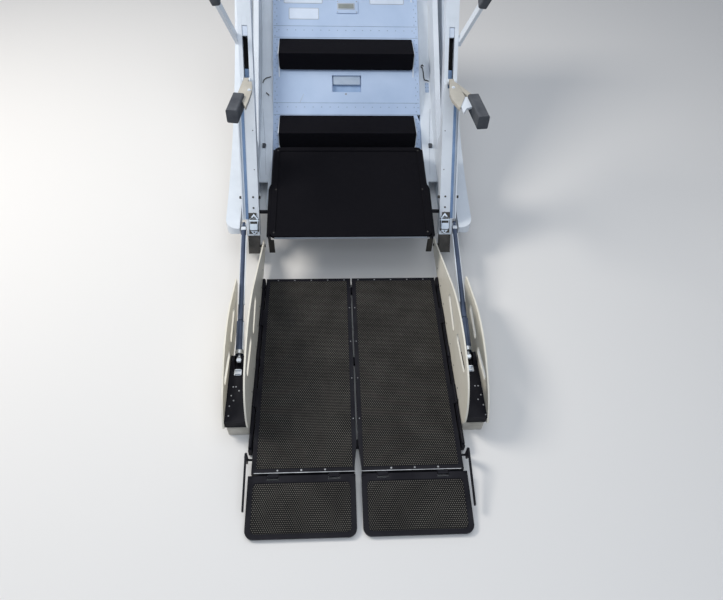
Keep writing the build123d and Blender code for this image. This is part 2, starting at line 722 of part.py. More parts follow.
# Deck halves: border frame, perforated sheet, ribs, and hinge eyes between the barrels
for side, s in SIDES:
    inner, outer = s * DECK_SEAM, s * DECK_EDGE
    front_y, back_y = at(DECK_FRONT_RUN, 0)[0], at(DECK_REAR_RUN, 0)[0]
    middle = ((inner + outer) / 2, (front_y + back_y) / 2)
    wide, long = abs(outer - inner), back_y - front_y
    with BuildPart() as half:
        with BuildSketch(Plane.XY.offset(ground_z + DECK_BOTTOM)):
            with Locations(middle):
                Rectangle(wide, long)
                Rectangle(wide - 2 * DECK_BORDER, long - 2 * DECK_BORDER, mode=Mode.SUBTRACT)
            with Locations((middle[0] - RIB_OFFSET, middle[1]), (middle[0] + RIB_OFFSET, middle[1])):
                Rectangle(RIB_WIDTH, long - DECK_BORDER)
        extrude(amount=DECK_TOP - DECK_BOTTOM)
        with BuildSketch(Plane.XY.offset(ground_z + DECK_TOP - SHEET_THICKNESS - 1)):
            with Locations(middle):
                Rectangle(wide - 4, long - 4)
        extrude(amount=SHEET_THICKNESS)
        with BuildSketch(Plane.XY.offset(ground_z)):
            with BuildLine():
                Polyline(
                    (0, front_y - 1),
                    (s * SEAM_CUT_WIDTH, front_y - 1),
                    (s * SEAM_CUT_WIDTH, front_y + SEAM_CUT_START),
                    (0, front_y + SEAM_CUT_LENGTH),
                    close=True,
                )
            make_face()
        extrude(amount=2 * DECK_TOP, mode=Mode.SUBTRACT)
        for run in EYE_STATIONS:
            y, z = at(run, HINGE_Z)
            with BuildSketch(Plane.XZ.offset(-(y + EYE_HALF))):
                with Locations((s * HINGE_X, z)):
                    Circle(BARREL_RADIUS)
                with Locations((s * (HINGE_X - 8), z - 3.6)):
                    Rectangle(14, 3.4)
                with Locations((s * HINGE_X, z)):
                    Circle(DECK_PIN_RADIUS + HOLE_PLAY, mode=Mode.SUBTRACT)
            extrude(amount=2 * EYE_HALF)
        for x in RAMP_KNUCKLES:
            with BuildSketch(side_plane(s * x)):
                with Locations(at(*RAMP_HINGE)):
                    Circle(KNUCKLE_SIZE)
                with Locations(at(RAMP_HINGE[0] + 6, RAMP_HINGE[1] - 1)):
                    Rectangle(12, 8)
            extrude(amount=s * RAMP_KNUCKLE_WIDTH)
        with BuildSketch(side_plane(s * (FLAP_INNER + 2))):
            with Locations(at(*RAMP_HINGE)):
                Circle(RAMP_PIN_RADIUS)
        extrude(amount=s * (FLAP_OUTER - FLAP_INNER - 4))
    save(half.part, f"deck_half_{side}")

# Ramp flaps
for side, s in SIDES:
    hinge_y, hinge_z = at(*RAMP_HINGE)
    flap_length = RAMP_HINGE[0] - FLAP_TIP_RUN
    drop = RAMP_HINGE[1] - 8
    flap_plane = Plane(
        origin=(0, hinge_y, hinge_z),
        x_dir=(1, 0, 0),
        z_dir=(0, -drop, flap_length),
    )
    flap_reach = math.hypot(flap_length, drop)
    width = FLAP_OUTER - FLAP_INNER
    with BuildPart() as flap:
        with BuildSketch(flap_plane.offset(-5)):
            with Locations((s * (FLAP_INNER + width / 2), -flap_reach / 2)):
                RectangleRounded(width, flap_reach, FLAP_RADIUS)
            with Locations((s * (FLAP_INNER + width / 2), -22)):
                Rectangle(width, 36)
        extrude(amount=FLAP_THICKNESS)
        with BuildSketch(flap_plane.offset(3)):
            with Locations((s * (FLAP_INNER + width / 2), -flap_reach / 2 - 3)):
                RectangleRounded(width - 34, flap_reach - 34, FLAP_RADIUS - 16)
        extrude(amount=5, mode=Mode.SUBTRACT)
        with BuildSketch(side_plane(s * FLAP_INNER)):
            with Locations((hinge_y, hinge_z)):
                Circle(KNUCKLE_SIZE)
        extrude(amount=s * width)
        for x in RAMP_KNUCKLES:
            with BuildSketch(side_plane(s * (x - 2))):
                with Locations((hinge_y, hinge_z)):
                    Rectangle(KNUCKLE_ROOM, KNUCKLE_ROOM)
            extrude(amount=s * (RAMP_KNUCKLE_WIDTH + 4), mode=Mode.SUBTRACT)
        with BuildSketch(side_plane(s * FLAP_INNER)):
            with Locations((hinge_y, hinge_z)):
                Circle(RAMP_PIN_RADIUS + HOLE_PLAY)
        extrude(amount=s * width, mode=Mode.SUBTRACT)
    save(flap.part, f"ramp_flap_{side}")
    with BuildPart() as stay:
        with BuildSketch(side_plane(s * STAY_INNER)):
            with BuildLine():
                Polyline(*[at(*point) for point in STAY_OUTLINE], close=True)
            make_face()
        extrude(amount=s * STAY_THICKNESS)
        with BuildSketch(side_plane(s * DECK_EDGE)):
            with Locations(at(*STAY_PIN)):
                Circle(STAY_PIN_RADIUS)
        extrude(amount=s * (STAY_INNER - DECK_EDGE))
    save(stay.part, f"flap_stay_{side}")

# Struts: tube with an upper eye, and rod with a lower eye
strut_top = on_mast(STRUT_PIN_ALONG, PIN_DEPTH)
for side, s in SIDES:
    ty, tz = at(*strut_top)
    ly, lz = at(*STRUT_LOW)
    tx, lx = s * STRUT_TOP_X, s * STRUT_LOW_X
    reach = math.dist((tx, ty, tz), (lx, ly, lz))
    ux, uy, uz = ((lx - tx) / reach, (ly - ty) / reach, (lz - tz) / reach)
    along = Plane(origin=(tx, ty, tz), x_dir=(uy, -ux, 0), z_dir=(ux, uy, uz))
    with BuildPart() as tube:
        with BuildSketch(along.offset(16)):
            Circle(TUBE_RADIUS)
        extrude(amount=TUBE_LENGTH - 16)
        with BuildSketch(along.offset(12)):
            Circle(TUBE_RADIUS - 2)
        extrude(amount=4)
        with BuildSketch(side_plane(tx - 5)):
            with Locations((ty, tz)):
                Circle(14)
                Circle(PIN_RADIUS + HOLE_PLAY, mode=Mode.SUBTRACT)
        extrude(amount=10)
        with BuildSketch(along.offset(TUBE_BORE_START)):
            Circle(ROD_RADIUS + HOLE_PLAY)
        extrude(amount=TUBE_LENGTH - TUBE_BORE_START, mode=Mode.SUBTRACT)
    save(tube.part, f"strut_tube_{side}")
    with BuildPart() as rod:
        with BuildSketch(along.offset(ROD_START)):
            Circle(ROD_RADIUS)
        extrude(amount=reach - ROD_START - 8)
        with BuildSketch(along.offset(reach - 70)):
            Circle(CLEVIS_RADIUS)
        extrude(amount=24)
        with BuildSketch(side_plane(lx - ROD_EYE_WIDTH / 2)):
            with Locations((ly, lz)):
                Circle(ROD_EYE_RADIUS)
        extrude(amount=ROD_EYE_WIDTH)
        with BuildSketch(side_plane(lx - 9)):
            with Locations((ly, lz)):
                Circle(5)
        extrude(amount=18)
    save(rod.part, f"strut_rod_{side}")

# Grip arms with their pivot eyes, and the pads
for side, s, back_out, front_out, front_run in GRIPS:
    py, pz = at(*on_mast(GRIP_ALONG, GRIP_DEPTH))
    by, bz = at(GRIP_BACK_RUN, GRIP_RISE)
    fy, fz = at(front_run, GRIP_RISE)
    back_x, front_x = MAST_X + back_out, MAST_X + front_out
    start = Vector(s * MAST_X, py - 24, pz)
    end = Vector(s * back_x, by, bz)
    way = end - start
    arm_plane = Plane(origin=start, x_dir=(way.Y, -way.X, 0), z_dir=way)
    with BuildPart() as grip_arm:
        with BuildSketch(side_plane(s * (MAST_X - 10.7))):
            with Locations((py, pz)):
                Circle(ARM_EYE)
        extrude(amount=s * 21.4)
        with BuildSketch(side_plane(s * (MAST_X - 8))):
            with Locations((py - 16, pz)):
                Rectangle(32, 18)
        extrude(amount=s * 16)
        with BuildSketch(side_plane(s * (MAST_X - 20))):
            with Locations((py, pz)):
                Circle(GRIP_PIN_RADIUS + HOLE_PLAY)
        extrude(amount=s * 40, mode=Mode.SUBTRACT)
        with BuildSketch(arm_plane):
            Rectangle(ARM_WIDTH, ARM_HEIGHT)
        extrude(amount=way.length + 30)
    arm_length = way.length + 30
    save(grip_arm.part, f"grip_arm_{side}")
    with BuildPart() as grip_pad:
        start = Vector(s * back_x, by, bz)
        end = Vector(s * front_x, fy, fz)
        way = end - start
        with BuildSketch(Plane(origin=start, x_dir=(way.Y, -way.X, 0), z_dir=way)):
            RectangleRounded(PAD_WIDTH, PAD_HEIGHT, PAD_CORNER)
        extrude(amount=way.length)
        with BuildSketch(arm_plane):
            Rectangle(ARM_WIDTH, ARM_HEIGHT)
        extrude(amount=arm_length, mode=Mode.SUBTRACT)
    save(grip_pad.part, f"grip_pad_{side}")
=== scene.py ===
import bmesh
import bpy
import json
import math
from contextlib import contextmanager
from mathutils import Matrix, Vector


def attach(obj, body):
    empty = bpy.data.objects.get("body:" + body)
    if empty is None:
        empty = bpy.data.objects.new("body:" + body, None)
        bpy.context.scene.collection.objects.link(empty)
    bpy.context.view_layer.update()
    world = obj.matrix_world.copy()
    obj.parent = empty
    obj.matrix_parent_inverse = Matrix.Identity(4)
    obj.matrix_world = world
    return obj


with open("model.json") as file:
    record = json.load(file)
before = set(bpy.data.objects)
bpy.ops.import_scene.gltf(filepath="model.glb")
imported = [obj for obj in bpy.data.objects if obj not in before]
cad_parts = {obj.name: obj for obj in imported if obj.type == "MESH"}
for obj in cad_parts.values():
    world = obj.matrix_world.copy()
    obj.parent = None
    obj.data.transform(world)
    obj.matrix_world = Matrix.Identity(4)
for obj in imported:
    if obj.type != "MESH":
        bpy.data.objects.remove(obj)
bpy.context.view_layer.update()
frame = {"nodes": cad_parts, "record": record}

# Lengths are in metres. A side view point is (run, rise), as in the part's source
HINGE_RUN = 3.3
HINGE_RISE = 0.93
GROUND_Z = -HINGE_RISE
LEVEL = (1, 0)
UPRIGHT = (0, 1)
SIDES = (("left", -1), ("right", 1))

# Where the main faces lie, in the side view
PANEL_FOOT = (2.52, 0.312)
PANEL_WAY = (1, 0.672)
RIM_CENTRE = (1.8194, 1.9675)
RIM_RADIUS = 1.8058
RIM_STEP = 0.02
MAST_X = 0.42
MAST_FOOT = (1.852, 0.056)
MAST_ANGLE = math.radians(53.7)
LANDING_FRONT = (1.778, 0.232)
LANDING_BACK = (2.296, 0.292)
DECK_FRONT = (0.848, 0.036)
FLAP_HINGE = (0.838, 0.030)
FLAP_TIP = (0.641, 0.008)


def side_point(x, run, rise):
    return Vector((x, run - HINGE_RUN, rise - HINGE_RISE))


def between(start, end):
    """The way from one side view point to another."""
    return end[0] - start[0], end[1] - start[1]


def basis(x, start, way):
    """Local axes: X to the right, Y along way in the side view, Z up out of it."""
    x_axis = Vector((1, 0, 0))
    y_axis = Vector((0, *way)).normalized()
    matrix = Matrix((x_axis, y_axis, x_axis.cross(y_axis))).transposed().to_4x4()
    matrix.translation = side_point(x, *start)
    return matrix


def side_basis(x, s):
    """Local axes: X along run, Y up, Z out to the side s."""
    matrix = Matrix(((0, 0, s), (1, 0, 0), (0, 1, 0))).to_4x4()
    matrix.translation = side_point(x, 0, 0)
    return matrix


def rim_point(x, run, height=0.0):
    """A point that far above the top of the pan's curved rim."""
    drop = math.sqrt(RIM_RADIUS ** 2 - (run - RIM_CENTRE[0]) ** 2)
    share = (RIM_RADIUS - height) / RIM_RADIUS
    run_there = RIM_CENTRE[0] + (run - RIM_CENTRE[0]) * share
    return side_point(x, run_there, RIM_CENTRE[1] - drop * share)


def rim_basis(x, run):
    """Local axes on the rim: X to the right, Y up along it, Z out of it."""
    start, middle, end = (rim_point(0, run + step) for step in (-RIM_STEP, 0, RIM_STEP))
    way = (end.y - start.y, end.z - start.z)
    return basis(x, (middle.y + HINGE_RUN, middle.z + HINGE_RISE), way)


PANEL = basis(0, PANEL_FOOT, PANEL_WAY)
LANDING = basis(0, LANDING_FRONT, between(LANDING_FRONT, LANDING_BACK))
DECK = basis(0, DECK_FRONT, LEVEL)
FLAP = basis(0, FLAP_HINGE, between(FLAP_TIP, FLAP_HINGE))
MAST_WAY = (math.cos(MAST_ANGLE), math.sin(MAST_ANGLE))
MASTS = {s: basis(s * MAST_X, MAST_FOOT, MAST_WAY) for _, s in SIDES}


# Materials
def new_material(name):
    material = bpy.data.materials.new(name)
    material.use_nodes = True
    tree = material.node_tree
    return material, tree.nodes, tree.links, tree.nodes["Principled BSDF"]


def noise(nodes, links, scale, detail=4.0, rough=0.6):
    place = nodes.new("ShaderNodeTexCoord")
    texture = nodes.new("ShaderNodeTexNoise")
    texture.inputs["Scale"].default_value = scale
    texture.inputs["Detail"].default_value = detail
    texture.inputs["Roughness"].default_value = rough
    links.new(place.outputs["Object"], texture.inputs["Vector"])
    return texture.outputs["Fac"]


def ramp(nodes, links, source, low, high, dark, light):
    """Colours from dark to light as the source goes from low to high."""
    stops = nodes.new("ShaderNodeValToRGB")
    for stop, position, color in zip(stops.color_ramp.elements, (low, high), (dark, light)):
        stop.position = position
        stop.color = (*color, 1)
    links.new(source, stops.inputs["Fac"])
    return stops.outputs["Color"]


def add_bump(nodes, links, shader, source, strength, distance):
    bump = nodes.new("ShaderNodeBump")
    bump.inputs["Strength"].default_value = strength
    bump.inputs["Distance"].default_value = distance
    links.new(source, bump.inputs["Height"])
    links.new(bump.outputs["Normal"], shader.inputs["Normal"])


# Wear runs over the middle of its noise, and makes a finish duller by the first share of its
# roughness and glossier by the second
WEAR_RANGE = (0.3, 0.7)
GLOSS_SHARES = (1.25, 0.85)
BUMP_DEPTH = 0.0006


def plain_finish(name, light, dark, roughness, metallic, scale, spread, bump, bump_scale, gleam):
    """One painted, metal, plastic or rubber finish with soft wear in its colour and gloss."""
    material, nodes, links, shader = new_material(name)
    wear = noise(nodes, links, scale)
    color = ramp(nodes, links, wear, 0.5 - spread, 0.5 + spread, dark, light)
    dull, glossy = ((roughness * share,) * 3 for share in GLOSS_SHARES)
    gloss = ramp(nodes, links, wear, *WEAR_RANGE, dull, glossy)
    links.new(color, shader.inputs["Base Color"])
    links.new(gloss, shader.inputs["Roughness"])
    shader.inputs["Metallic"].default_value = metallic
    shader.inputs["Specular IOR Level"].default_value = gleam
    add_bump(nodes, links, shader, noise(nodes, links, bump_scale, 3.0), bump, BUMP_DEPTH)
    return material


# Name, light colour, dark colour, roughness, metallic, wear size, wear spread, bump, bump size, gleam
FINISHES = (
    # White paint, tinted blue-grey and darkened a little as painted sky shade
    ("white_paint", (0.70, 0.75, 0.81), (0.60, 0.65, 0.71), 0.34, 0.0, 7, 0.22, 0.08, 240, 0.35),
    ("skin_paint", (0.84, 0.86, 0.88), (0.76, 0.78, 0.80), 0.28, 0.0, 4, 0.25, 0.05, 160, 0.45),
    # White panel paint, given a pale blue colour as painted sky shade
    ("panel_paint", (0.41, 0.51, 0.68), (0.34, 0.44, 0.61), 0.42, 0.0, 5, 0.25, 0.10, 300, 0.4),
    ("dark_metal", (0.060, 0.056, 0.052), (0.022, 0.022, 0.022), 0.45, 0.3, 14, 0.2, 0.2, 400, 0.25),
    ("ivory_paint", (0.80, 0.77, 0.68), (0.68, 0.65, 0.56), 0.42, 0.0, 9, 0.22, 0.10, 260, 0.45),
    ("black_paint", (0.010, 0.010, 0.014), (0.004, 0.004, 0.007), 0.46, 0.0, 12, 0.2, 0.15, 380, 0.1),
    ("bright_metal", (0.58, 0.62, 0.67), (0.42, 0.45, 0.49), 0.30, 0.85, 20, 0.2, 0.05, 300, 0.4),
    ("latch_steel", (0.66, 0.74, 0.83), (0.54, 0.62, 0.71), 0.42, 0.2, 20, 0.2, 0.05, 300, 0.35),
    ("grey_block", (0.50, 0.48, 0.43), (0.36, 0.34, 0.30), 0.65, 0.0, 18, 0.2, 0.3, 300, 0.45),
    ("steel_bar", (0.33, 0.34, 0.36), (0.16, 0.17, 0.18), 0.32, 0.9, 24, 0.2, 0.15, 380, 0.45),
    ("black_rubber", (0.095, 0.102, 0.115), (0.050, 0.055, 0.066), 0.62, 0.0, 16, 0.2, 0.35, 420, 0.15),
    ("rivet_grey", (0.25, 0.31, 0.41), (0.18, 0.23, 0.31), 0.45, 0.0, 20, 0.2, 0.05, 300, 0.45),
    ("handle_paint", (0.36, 0.43, 0.53), (0.31, 0.38, 0.48), 0.45, 0.0, 20, 0.2, 0.05, 300, 0.35),
    # Pocket floor: darker blue than the panel, as painted shade in the recess
    ("pocket_shade_paint", (0.26, 0.37, 0.55), (0.22, 0.32, 0.49), 0.45, 0.0, 20, 0.2, 0.05, 300, 0.35),
    ("shade_paint", (0.40, 0.44, 0.50), (0.30, 0.33, 0.38), 0.50, 0.0, 9, 0.2, 0.08, 260, 0.45),
    # Dark slate blue: painted shade of the masts' channels and of the stow slots' feet
    ("recess_shade_paint", (0.15, 0.24, 0.40), (0.10, 0.17, 0.30), 0.38, 0.2, 9, 0.2, 0.08, 260, 0.4),
    ("strut_steel", (0.060, 0.085, 0.145), (0.036, 0.052, 0.095), 0.36, 0.3, 14, 0.2, 0.08, 260, 0.35),
    ("arm_paint", (0.48, 0.455, 0.40), (0.38, 0.36, 0.315), 0.46, 0.0, 12, 0.2, 0.10, 260, 0.35),
    # White placards, given a pale blue-grey colour as painted sky shade
    ("placard", (0.60, 0.67, 0.78), (0.54, 0.61, 0.72), 0.5, 0.0, 12, 0.2, 0.05, 200, 0.4),
    ("display_glass", (0.20, 0.22, 0.20), (0.14, 0.16, 0.15), 0.12, 0.0, 12, 0.2, 0.02, 200, 0.5),
    # Near-black painted shade inside holes, notches and slots
    ("hole_shade_black", (0.012, 0.012, 0.013), (0.006, 0.006, 0.007), 0.8, 0.0, 12, 0.2, 0.05, 200, 0.1),
)


def grit():
    """Black coat with sharp mineral grains."""
    material, nodes, links, shader = new_material("black_grit")
    grains = noise(nodes, links, 900, 2.0, 0.7)
    color = ramp(nodes, links, grains, 0.56, 0.86, (0.003, 0.003, 0.005), (0.060, 0.055, 0.050))
    links.new(color, shader.inputs["Base Color"])
    shader.inputs["Roughness"].default_value = 0.8
    shader.inputs["Specular IOR Level"].default_value = 0.05
    add_bump(nodes, links, shader, grains, 0.9, 0.0012)
    return material


def math_node(nodes, links, kind, *values):
    """Output of a new math node. Its values are numbers or other nodes' outputs."""
    node = nodes.new("ShaderNodeMath")
    node.operation = kind
    for value, socket in zip(values, node.inputs):
        if isinstance(value, (int, float)):
            socket.default_value = value
        else:
            links.new(value, socket)
    return node.outputs[0]


HOLE_PITCH = 0.0072
# A hole's edge runs from the first share of the pitch to the second
HOLE_EDGE = (0.20, 0.27)
ROW_RATIO = math.sqrt(3)


def perforated():
    """Dark sheet with staggered round holes, paler where light comes through."""
    material, nodes, links, shader = new_material("perforated_sheet")
    place = nodes.new("ShaderNodeTexCoord")
    split = nodes.new("ShaderNodeSeparateXYZ")
    links.new(place.outputs["Object"], split.inputs["Vector"])

    def calc(kind, *values):
        return math_node(nodes, links, kind, *values)

    across = calc("DIVIDE", split.outputs["X"], HOLE_PITCH)
    down = calc("DIVIDE", split.outputs["Y"], HOLE_PITCH * ROW_RATIO)
    distances = []
    for shift in (0.0, 0.5):
        cell_x = calc("SUBTRACT", calc("FRACT", calc("ADD", across, shift)), 0.5)
        cell_y = calc("SUBTRACT", calc("FRACT", calc("ADD", down, shift)), 0.5)
        cell_y = calc("MULTIPLY", cell_y, ROW_RATIO)
        squares = calc("ADD", calc("MULTIPLY", cell_x, cell_x), calc("MULTIPLY", cell_y, cell_y))
        distances.append(calc("SQRT", squares))
    web = ramp(nodes, links, calc("MINIMUM", *distances), *HOLE_EDGE, (0, 0, 0), (1, 1, 1))
    wear = noise(nodes, links, 9)
    sheet = ramp(nodes, links, wear, *WEAR_RANGE, (0.003, 0.003, 0.004), (0.006, 0.006, 0.007))
    below = ramp(nodes, links, wear, *WEAR_RANGE, (0.10, 0.094, 0.081), (0.165, 0.156, 0.135))
    mix = nodes.new("ShaderNodeMix")
    mix.data_type = "RGBA"
    links.new(web, mix.inputs["Factor"])
    links.new(below, mix.inputs[6])
    links.new(sheet, mix.inputs[7])
    links.new(mix.outputs[2], shader.inputs["Base Color"])
    shader.inputs["Roughness"].default_value = 0.55
    shader.inputs["Specular IOR Level"].default_value = 0.06
    add_bump(nodes, links, shader, web, 0.6, 0.001)
    return material


MATERIALS = {row[0]: plain_finish(*row) for row in FINISHES}
MATERIALS["black_grit"] = grit()
MATERIALS["perforated_sheet"] = perforated()

# Finishes of the CAD nodes: the record's slot, or the finer finish named here
FINER_FINISH = {
    "deck_frame": "black_paint",
    "grip_arm_left": "arm_paint",
    "grip_arm_right": "arm_paint",
    "landing_legs": "black_paint",
    "latches": "dark_metal",
    "stanchions": "white_paint",
    "strut_tube_left": "strut_steel",
    "strut_tube_right": "strut_steel",
}
for subpart in frame["record"]["subparts"]:
    node = frame["nodes"][subpart["node"]]
    node.data.materials.clear()
    finish = FINER_FINISH.get(subpart["node"], subpart["material_slot"])
    node.data.materials.append(MATERIALS[finish])


# Pieces and their meshes. A plate's levels are (bottom, top) or (bottom, top, bevel), a rectangle is
# (x, y, width, length) with its corner radius, and a rivet's or bolt's size is (radius, height)
SPLIT_ANGLE = math.radians(35)
BEVEL_STEPS = 2
BEVEL_PROFILE = 0.7
CORNER_STEPS = 4
SQUARE = ((-1, -1), (1, -1), (1, 1), (-1, 1))


@contextmanager
def piece(name, finish, body):
    """A new piece that rides on the body. Its mesh is filled inside the with block."""
    bm = bmesh.new()
    yield bm
    mesh = bpy.data.meshes.new(name)
    bmesh.ops.recalc_face_normals(bm, faces=bm.faces)
    bm.to_mesh(mesh)
    bm.free()
    mesh.materials.append(MATERIALS[finish])
    for face in mesh.polygons:
        face.use_smooth = True
    thing = bpy.data.objects.new(name, mesh)
    bpy.context.scene.collection.objects.link(thing)
    edges = thing.modifiers.new("edges", "EDGE_SPLIT")
    edges.split_angle = SPLIT_ANGLE
    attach(thing, body)


def slab(bm, place, outline, low, high, bevel=0.0):
    """A flat plate with that outline in the place's X and Y, from low to high along its Z."""
    before = set(bm.verts)
    face = bm.faces.new([bm.verts.new((x, y, low)) for x, y in outline])
    grown = bmesh.ops.extrude_face_region(bm, geom=[face])
    top = [v for v in grown["geom"] if isinstance(v, bmesh.types.BMVert)]
    bmesh.ops.translate(bm, verts=top, vec=(0, 0, high - low))
    if bevel:
        edges = {e for v in bm.verts if v not in before for e in v.link_edges}
        bmesh.ops.bevel(
            bm, geom=list(edges), affect="EDGES",
            offset=bevel, segments=BEVEL_STEPS, profile=BEVEL_PROFILE,
        )
    fresh = [v for v in bm.verts if v not in before]
    bmesh.ops.transform(bm, matrix=place, verts=fresh)


def rectangle(x, y, wide, long, corner=0.0):
    """Outline of a rectangle with round corners, centred on x, y."""
    if not corner:
        return [(x + a * wide / 2, y + b * long / 2) for a, b in SQUARE]
    points = []
    for a, b, turn in ((1, -1, -90), (1, 1, 0), (-1, 1, 90), (-1, -1, 180)):
        for step in range(CORNER_STEPS + 1):
            angle = math.radians(turn + 90 * step / CORNER_STEPS)
            points.append((
                x + a * (wide / 2 - corner) + corner * math.cos(angle),
                y + b * (long / 2 - corner) + corner * math.sin(angle),
            ))
    return points


def polygon(x, y, radius, sides):
    """Outline of a regular polygon, centred on x, y."""
    turns = (2 * math.pi * k / sides for k in range(sides))
    return [(x + radius * math.cos(turn), y + radius * math.sin(turn)) for turn in turns]


def ring(bm, centre, across, other, radius, sides):
    """Points around the centre, in the plane of two directions."""
    return [bm.verts.new(centre + across * x + other * y) for x, y in polygon(0, 0, radius, sides)]


def join_rings(bm, first, second):
    for k in range(len(first)):
        after = (k + 1) % len(first)
        bm.faces.new((first[k], first[after], second[after], second[k]))


# Share of a rivet's radius and height at its shoulder
RIVET_SHOULDER = (0.72, 0.7)


def rivets(bm, place, places, radius, height, sides=8):
    """Low round heads standing on the place's XY plane at (x, y, z)."""
    across, other, up = (column.to_3d() for column in place.col[:3])
    for point in places:
        foot = place @ Vector(point)
        low = ring(bm, foot, across, other, radius, sides)
        rise = height * RIVET_SHOULDER[1]
        high = ring(bm, foot + up * rise, across, other, radius * RIVET_SHOULDER[0], sides)
        crown = bm.verts.new(foot + up * height)
        join_rings(bm, low, high)
        for k in range(sides):
            bm.faces.new((high[k], high[(k + 1) % sides], crown))


# The washer's radius and height, and the head's bevel, as shares of the head's radius and height
WASHER_RADIUS = 1.35
WASHER_HEIGHT = 0.25
WASHER_SIDES = 16
HEAD_BEVEL = 0.12
HEAD_SIDES = 6


def bolts(bm, place, places, radius, height):
    """Hexagon heads on washers, standing on the place's XY plane at (x, y, z)."""
    for x, y, z in places:
        washer_top = z + height * WASHER_HEIGHT
        slab(bm, place, polygon(x, y, radius * WASHER_RADIUS, WASHER_SIDES), z, washer_top)
        head = polygon(x, y, radius, HEAD_SIDES)
        slab(bm, place, head, washer_top, z + height, radius * HEAD_BEVEL)


def round_bar(bm, points, radius, sides=12):
    """A round bar through the points, closed at both ends."""
    rings = []
    across = None
    for index, point in enumerate(points):
        way = (points[min(index + 1, len(points) - 1)] - points[max(index - 1, 0)]).normalized()
        across = (across - way * across.dot(way) if across else way.orthogonal()).normalized()
        rings.append(ring(bm, point, across, way.cross(across), radius, sides))
    for first, second in zip(rings, rings[1:]):
        join_rings(bm, first, second)
    bm.faces.new(rings[0][::-1])
    bm.faces.new(rings[-1])


def sleeve(bm, start, end, inner, outer, sides=24):
    """A hollow round sleeve from start to end."""
    way = (end - start).normalized()
    across = way.orthogonal().normalized()
    corners = ((start, inner), (start, outer), (end, outer), (end, inner))
    rings = [ring(bm, point, across, way.cross(across), radius, sides) for point, radius in corners]
    for first, second in zip(rings, rings[1:] + rings[:1]):
        join_rings(bm, first, second)


def plates(rows, place, body, s=1, suffix=""):
    """A piece for each row of name, finish, rectangle and levels. Its x is that of the side s."""
    for name, finish, (x, *rest), levels in rows:
        with piece(name + suffix, finish, body) as bm:
            slab(bm, place, rectangle(s * x, *rest), *levels)


# Inner panel: rows of rivets across the doublers, and (X, start) of the rows along the edges
PANEL_RIVET = (0.0027, 0.0013)
DOUBLER_ROWS = (0.042, 0.430, 0.818)
DOUBLER_PITCH = 0.0405
DOUBLER_RIVETS = range(-8, 9)
DOUBLER_SEAMS = (-0.038, 0.0205)
SEAM_SIZE = (0.700, 0.0024)
SEAM_LEVELS = (-0.0001, 0.0004)
EDGE_ROWS = ((-0.343, -0.24), (0.343, -0.24), (-0.334, -0.22), (0.334, -0.22))
EDGE_PITCH = 0.04
EDGE_RIVETS = range(28)
# Thin marks: name, finish, outline, levels. The notch is a painted shadow
PANEL_MARKS = (
    (
        "panel_notch", "hole_shade_black",
        ((0.337, 0.0035), (0.348, -0.029), (0.351, 0.0035)), (0.0001, 0.0005),
    ),
    (
        "panel_scratch", "shade_paint",
        ((-0.2262, 0.064), (-0.2240, 0.0635), (-0.2060, 0.1055), (-0.2074, 0.106)), (0.0001, 0.0004),
    ),
)
PLACARDS = (
    (-0.203, 0.5135, 0.140, 0.053),
    (-0.206, 0.599, 0.182, 0.060),
    (0.202, 0.598, 0.162, 0.060),
)
# Name, finish, how far it reaches past the placard, corner, levels
PLACARD_LAYERS = (
    ("placards", "placard", 0.0, 0.004, (0.0002, 0.001)),
    ("placard_borders", "shade_paint", 0.003, 0.005, (0.0001, 0.0006)),
)
PANEL_PLATES = (
    ("display_plate", "panel_paint", (0.007, 0.549, 0.106, 0.066, 0.008), (0.0, 0.004, 0.001)),
    ("display_bezel", "shade_paint", (0.002, 0.551, 0.086, 0.034, 0.004), (0.004, 0.0048, 0.0003)),
    ("display_window", "display_glass", (0.002, 0.551, 0.074, 0.022, 0.003), (0.0048, 0.0056, 0.0003)),
    # The pocket floor is darker than the panel as painted recess shade
    ("pocket_floor", "pocket_shade_paint", (0, 0.159, 0.134, 0.094), (-0.0196, -0.0186)),
    ("pocket_handle", "handle_paint", (0, 0.181, 0.130, 0.046, 0.003), (-0.0186, -0.007, 0.0015)),
)
DISPLAY_SCREWS = [(x, y, 0.004) for x in (-0.039, 0.053) for y in (0.522, 0.576)]
DISPLAY_SCREW = (0.0028, 0.0011)
POCKET_KNOB_PLACE = (-0.004, 0.107, 0.0)
POCKET_KNOB = (0.005, 0.002)
POCKET_KNOB_SIDES = 12


def panel_details():
    """Rivets, seams, marks, blank placards, display and handle pocket of the inner panel, with the
    pocket floor and the notch darkened as painted shade.
    """
    with piece("panel_rivets", "rivet_grey", "door") as bm:
        places = [(k * DOUBLER_PITCH, row, 0.0) for row in DOUBLER_ROWS for k in DOUBLER_RIVETS]
        places += [(x, start + k * EDGE_PITCH, 0.0) for x, start in EDGE_ROWS for k in EDGE_RIVETS]
        rivets(bm, PANEL, places, *PANEL_RIVET)
    with piece("doubler_seams", "rivet_grey", "door") as bm:
        for row in DOUBLER_ROWS:
            for offset in DOUBLER_SEAMS:
                slab(bm, PANEL, rectangle(0, row + offset, *SEAM_SIZE), *SEAM_LEVELS)
    for name, finish, outline, levels in PANEL_MARKS:
        with piece(name, finish, "door") as bm:
            slab(bm, PANEL, outline, *levels)
    for name, finish, reach, corner, levels in PLACARD_LAYERS:
        with piece(name, finish, "door") as bm:
            for x, y, wide, long in PLACARDS:
                outline = rectangle(x, y, wide + 2 * reach, long + 2 * reach, corner)
                slab(bm, PANEL, outline, *levels)
    plates(PANEL_PLATES, PANEL, "door")
    with piece("display_screws", "steel_bar", "door") as bm:
        rivets(bm, PANEL, DISPLAY_SCREWS, *DISPLAY_SCREW)
        rivets(bm, PANEL, [POCKET_KNOB_PLACE], *POCKET_KNOB, POCKET_KNOB_SIDES)


panel_details()

